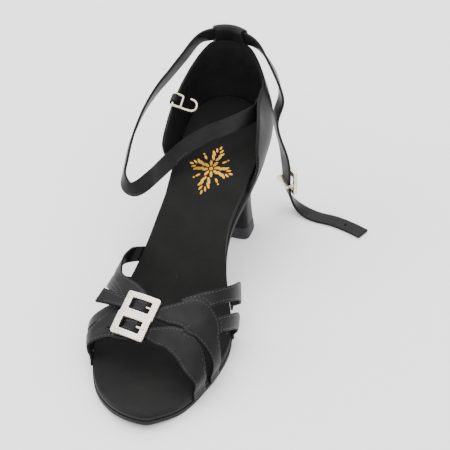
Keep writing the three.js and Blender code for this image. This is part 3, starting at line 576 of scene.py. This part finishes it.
paved("vamp_buckle_stones", frame_buckle, [
    ((-8.31, -11.22, 38.06), (0.971, -0.233, 0.051), (0.098, 0.934, 0.344)),
    ((-10.20, -23.35, 33.32), (0.971, -0.237, 0.035), (0.092, 0.919, 0.383)),
], (10.6, 7.3), (0.9, 2.45), pitch=1.6, radius=0.72)
paved("ankle_buckle_stones", strap_buckle, [
    ((32.43, 148.07, 20.25), (0.047, -0.037, -0.998), (-0.679, 0.734, -0.019)),
], (9.0, 7.7), (0.95, 2.5), pitch=1.6, radius=0.72)

# %% [markdown]
# ## Small marks
# Two little gold studs, a near-black disc painted on the lower vamp strap as the shade of a hole, a round hole
# punched in the ankle strap's tail, and the seam where the cup's lining ends. Each is dropped onto the nearest
# surface from a place in millimetres.

# %% Studs, holes and lining seam
def on_surface(obj, place):
    hit, normal, _, _ = surface(obj).find_nearest(Vector(place) * MM)
    side = normal.orthogonal().normalized()
    turn = Matrix((side, normal.cross(side), normal)).transposed().to_4x4()
    turn.translation = hit
    return turn


def stud(name, obj, place, radius, height, material, slot="buckle_metal"):
    select(None)
    bpy.ops.mesh.primitive_uv_sphere_add(segments=16, ring_count=8, radius=1, location=(0, 0, 0))
    made = bpy.context.object
    made.name = name
    made.data.transform(on_surface(obj, place) @ Matrix.Diagonal((radius * MM, radius * MM, height * MM, 1)))
    smooth(made)
    wear(made, material)
    return settle(made, slot)


def punched(obj, place, radius):
    select(None)
    bpy.ops.mesh.primitive_cylinder_add(vertices=20, radius=1, depth=2, location=(0, 0, 0))
    cutter = bpy.context.object
    cutter.data.transform(on_surface(obj, place) @ Matrix.Diagonal((radius * MM, radius * MM, 1.6 * MM, 1)))
    apply(obj, "BOOLEAN", object=cutter, operation="DIFFERENCE", solver="EXACT")
    bpy.data.objects.remove(cutter)
    smooth(obj)
    print(obj.name, "punched, faces", len(obj.data.polygons))


stud("gold_stud_at_cup", cup, (19.8, 112, 88), 0.75, 0.35, foil)
stud("pale_stud_at_toe", vamp_outer, (-34, -23, 7.3), 0.6, 0.3, plated)
punched(strap, (71.9, 136.8, 2), 0.95)
# the lower strap's hole is not cut: a flat near-black disc lies on the satin as painted shade of the hole
stud("dark_hole_in_lower_strap", vamp_inner, (3.4, -26.7, 34.5), 0.95, 0.04, painted_hole_shade, slot="upper_satin")


def tube(name, points, radius, material, slot):
    curve = bpy.data.curves.new(name, "CURVE")
    curve.dimensions = "3D"
    curve.bevel_depth = radius * MM
    curve.bevel_resolution = 2
    spline = curve.splines.new("POLY")
    spline.points.add(len(points) - 1)
    for target, point in zip(spline.points, points):
        target.co = (*point, 1)
    obj = bpy.data.objects.new(name, curve)
    bpy.context.collection.objects.link(obj)
    select(obj)
    bpy.ops.object.convert(target="MESH")
    obj = bpy.context.object
    smooth(obj)
    wear(obj, material)
    return settle(obj, slot)


cup_tree = surface(cup)
seam = []
for step in range(41):
    turn = math.radians(-20 + step * 5.5)
    way = Vector((math.cos(turn), math.sin(turn), 0))
    middle = Vector((-1, 120, 84 + 8 * math.sin(turn))) * MM
    hit, normal, _, _ = cup_tree.ray_cast(middle, way, 60 * MM)
    if hit is not None:
        seam.append(hit + normal * 0.05 * MM)
tube("lining_seam", seam, 0.28, lining, "upper_satin")

# %% [markdown]
# ## Hook
# The hook is bent from a twisted wire and swings in its satin tab. It rides on its own body.

# %% Hook
hook = copy_of("hook", "bent_wire_hook")
smooth(hook, 70)
wear(hook, wire)
settle(hook, "hook_wire", "hook", body="hook")

# %% [markdown]
# ## Ornament on the insole
# Dance insoles often carry a small gold-foil ornament at the waist. This one is a plain rosette between two leaf
# sprays: flat shapes laid above the insole, given the thickness of foil and dropped onto it.

# %% Gold rosette
def flat_leaf(x, y, length, width, angle):
    select(None)
    bpy.ops.mesh.primitive_circle_add(vertices=14, radius=0.5, fill_type="NGON", location=(0, 0, 0))
    leaf = bpy.context.object
    bpy.ops.object.mode_set(mode="EDIT")
    bpy.ops.mesh.select_all(action="SELECT")
    bpy.ops.transform.resize(value=(length * MM, width * MM, 1))
    bpy.ops.object.mode_set(mode="OBJECT")
    turn = Matrix.Rotation(math.radians(angle), 4, "Z")
    turn.translation = Vector((x * MM, y * MM, 90 * MM))
    leaf.data.transform(turn)
    return leaf


SPRAY = [
    # along, aside, length, width, turn
    (7.4, 1.7, 4.4, 1.6, 32),
    (10.2, 2.4, 4.0, 1.5, 40),
    (12.6, 1.5, 3.0, 1.2, 26),
    (14.8, 0.0, 2.6, 1.2, 0),
]
leaves = []
for petal in range(8):
    angle = petal * 45 + 22.5
    x, y = 3.7 * math.cos(math.radians(angle)), 3.7 * math.sin(math.radians(angle))
    leaves.append(flat_leaf(x, y, 3.8, 1.7, angle))
leaves.append(flat_leaf(0, 0, 2.4, 2.4, 0))
for heading, stretch in ((0, 0.86), (90, 1.0), (180, 0.86), (270, 1.0)):
    turned = math.radians(heading)
    for along, aside, length, width, turn in SPRAY:
        for side in ((-1, 1) if aside else (1,)):
            x, y = along * stretch, aside * side
            leaves.append(flat_leaf(x * math.cos(turned) - y * math.sin(turned),
                                    x * math.sin(turned) + y * math.cos(turned), length, width, heading + side * turn))
for corner in (45, 135, 225, 315):
    x, y = 8.6 * math.cos(math.radians(corner)), 8.6 * math.sin(math.radians(corner))
    leaves.append(flat_leaf(x, y, 3.0, 1.3, corner))
    leaves.append(flat_leaf(x * 1.3, y * 1.3, 1.1, 1.1, 0))
select(leaves[0])
for leaf in leaves:
    leaf.select_set(True)
bpy.ops.object.join()
rosette = bpy.context.object
rosette.name = "gold_foil_rosette"
rosette.data.transform(Matrix.Translation(Vector((-0.8, 96, 0)) * MM) @ Matrix.Rotation(math.radians(-6), 4, "Z"))
apply(rosette, "SUBSURF", levels=1, render_levels=1, subdivision_type="SIMPLE")
apply(rosette, "SHRINKWRAP", target=sock, wrap_method="PROJECT", use_project_z=True, use_negative_direction=True,
      use_positive_direction=False, offset=0.06 * MM)
apply(rosette, "SOLIDIFY", thickness=0.05 * MM, offset=0)
wear(rosette, foil)
settle(rosette, "sock_nubuck")

# %% [markdown]
# ## Light, floor and camera
# The shoe stands on a plain pale floor in soft studio light: one large lamp above and a little behind, one in
# front, and a bright surround. The camera has the photograph's place and angle.

# %% Studio
select(None)
bpy.ops.mesh.primitive_plane_add(size=6, location=(0, 0, 0))
floor = bpy.context.object
floor.name = "pale_floor"
paper, paper_shader, _ = finish("pale_paper", "FCFCFD", 0.85)
wear(floor, paper)


def lamp(name, place, size, power, aim=(0.0, 0.05, 0.03)):
    data = bpy.data.lights.new(name, "AREA")
    data.size = size
    data.energy = power
    obj = bpy.data.objects.new(name, data)
    obj.location = place
    obj.rotation_euler = (Vector(aim) - Vector(place)).to_track_quat("-Z", "Y").to_euler()
    bpy.context.collection.objects.link(obj)


lamp("top_light", (-0.3, 0.5, 1.5), 1.4, 19)
lamp("front_light", (0.9, -1.2, 1.1), 1.2, 9)
lamp("side_light", (-1.3, -0.3, 0.9), 1.0, 7)
world = bpy.data.worlds.new("bright_surround")
world.use_nodes = True
world.node_tree.nodes["Background"].inputs["Color"].default_value = linear("FFFFFF")
world.node_tree.nodes["Background"].inputs["Strength"].default_value = 1.75
bpy.context.scene.world = world

camera_data = bpy.data.cameras.new("camera")
camera_data.lens = 165.6
camera_data.clip_start = 0.05
camera = bpy.data.objects.new("camera", camera_data)
bpy.context.collection.objects.link(camera)
right = Vector((0.95111, 0.30814, -0.02084))
up = Vector((-0.1753, 0.59417, 0.78501))
back = right.cross(up)
camera.matrix_world = Matrix.Translation(Vector((0.3280, -0.8419, 0.7999))) @ Matrix(
    (right, up, back)).transposed().to_4x4()
bpy.context.scene.camera = camera
